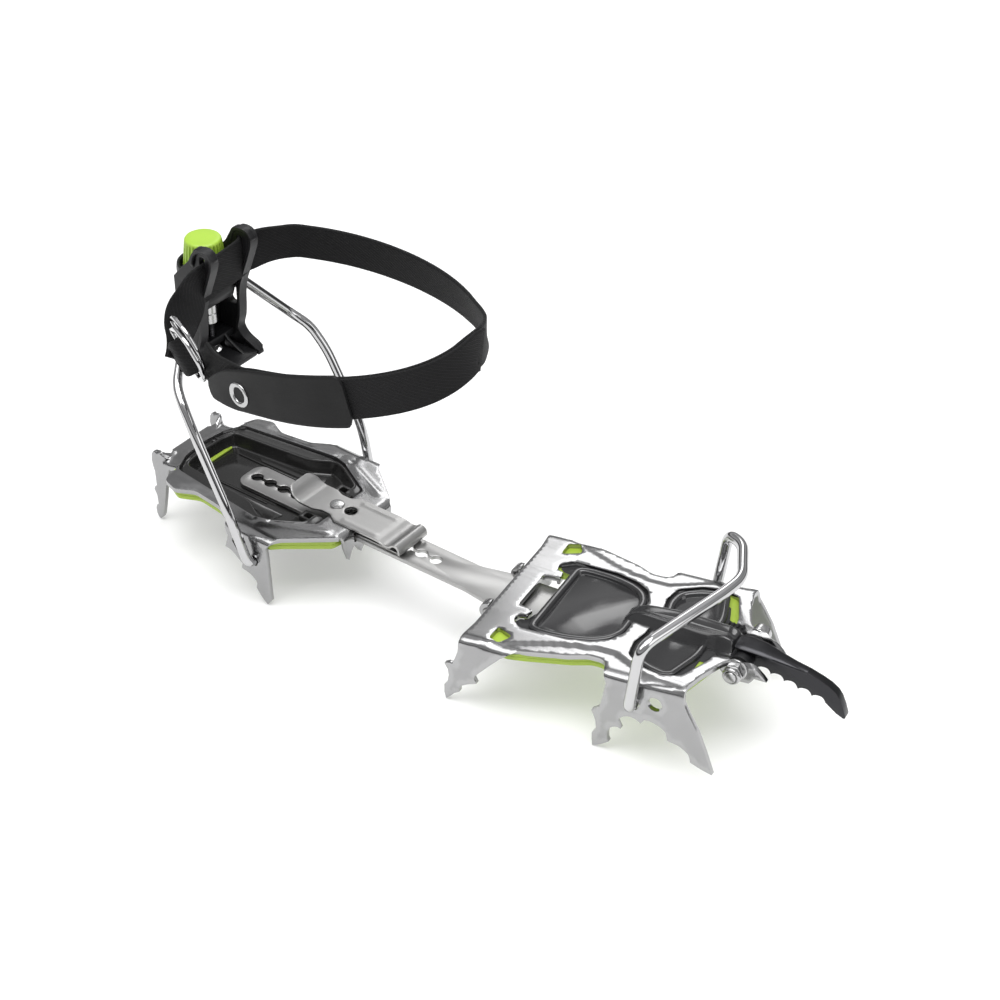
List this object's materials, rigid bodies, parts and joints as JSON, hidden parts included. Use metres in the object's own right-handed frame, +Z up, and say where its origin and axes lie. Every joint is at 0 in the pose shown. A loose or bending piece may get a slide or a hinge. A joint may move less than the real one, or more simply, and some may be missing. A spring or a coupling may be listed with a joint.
{
  "type": "crampon",
  "caption": "Step-in crampon for a right boot: two spiked steel frames on a hole-adjusted bar, toe and heel wire bails, heel lever with adjusting knob, ankle strap and one forward point.",
  "frame": {"origin": "centre of the footprint box, on the ground under the points", "axes": "+X along the centre bar towards the toe, +Y to the inner side of the foot, +Z up"},
  "size_m": [0.3438, 0.1062, 0.1561],
  "materials": {
    "stainless": "polished",
    "bar_steel": "satin",
    "wire": "polished",
    "chrome_steel": "polished",
    "dark_steel": "satin",
    "abs_green": "satin",
    "abs_smoke": "gloss",
    "black_plastic": "satin",
    "lime_plastic": "satin",
    "webbing": "matte",
    "patch_rubber": "matte"
  },
  "bodies": {
    "front": {"front_frame": "stainless", "front_abs_base": "abs_green", "front_abs_cover": "abs_smoke", "front_point": "dark_steel", "point_bolt": "chrome_steel", "point_nut": "chrome_steel", "point_washers": "chrome_steel", "point_spacers": "black_plastic"},
    "toe_bail": {"toe_bail": "wire"},
    "bar": {"center_bar": "bar_steel"},
    "heel": {"heel_frame": "stainless", "heel_abs_base": "abs_green", "heel_abs_tray": "black_plastic", "clip_leaf": "bar_steel", "leaf_rivets": "chrome_steel"},
    "clip": {"spring_clip": "bar_steel", "clip_pin": "chrome_steel"},
    "heel_bail": {"heel_bail": "wire"},
    "carriage": {"bail_carriage": "black_plastic", "carriage_sleeve": "chrome_steel"},
    "lever": {"heel_lever": "black_plastic", "ankle_strap": "webbing", "strap_tail": "webbing", "strap_loop": "webbing", "strap_patch": "patch_rubber", "patch_grommet": "chrome_steel", "ring_outer": "wire", "ring_inner": "wire"},
    "knob": {"adjust_knob": "lime_plastic", "adjust_screw": "dark_steel", "screw_nut": "chrome_steel"}
  },
  "joints": [
    {"name": "toe_bail_swing", "type": "hinge", "parent": "front", "child": "toe_bail", "pos_m": [0.09462, 0.00721, 0.02998], "axis": [-0.1478, 0.989, 0], "range_deg": [-80, 20]},
    {"name": "bar_pitch", "type": "hinge", "parent": "front", "child": "bar", "pos_m": [0.01651, -0.00447, 0.0309], "axis": [-0.1478, 0.989, 0], "range_deg": [-5, 12]},
    {"name": "length_adjust", "type": "slide", "parent": "bar", "child": "heel", "axis": [1, 0, 0], "range_m": [-0.032, 0.016]},
    {"name": "clip_lift", "type": "hinge", "parent": "heel", "child": "clip", "pos_m": [-0.03614, -0.00625, 0.0351], "axis": [0, 1, 0], "range_deg": [0, 8], "stiffness_Nm_per_rad": 0.6, "springref_deg": -5.73},
    {"name": "heel_bail_swing", "type": "hinge", "parent": "heel", "child": "heel_bail", "pos_m": [-0.09304, -0.00585, 0.0219], "axis": [0, 1, 0], "range_deg": [-40, 12]},
    {"name": "lever_tilt", "type": "hinge", "parent": "heel_bail", "child": "carriage", "pos_m": [-0.14274, -0.00585, 0.1221], "axis": [0, 1, 0], "range_deg": [-15, 1]},
    {"name": "lever_adjust", "type": "slide", "parent": "carriage", "child": "lever", "axis": [0, 0, 1], "range_m": [-0.0035, 0.0065]},
    {"name": "knob_turn", "type": "hinge", "parent": "lever", "child": "knob", "pos_m": [-0.14734, -0.00585, 0.1341], "axis": [0, 0, 1], "range_deg": [-1260, 1260]}
  ],
  "couplings": [
    {"joint": "knob_turn", "follows": "lever_adjust", "rad_per_m": 3141.6}
  ]
}
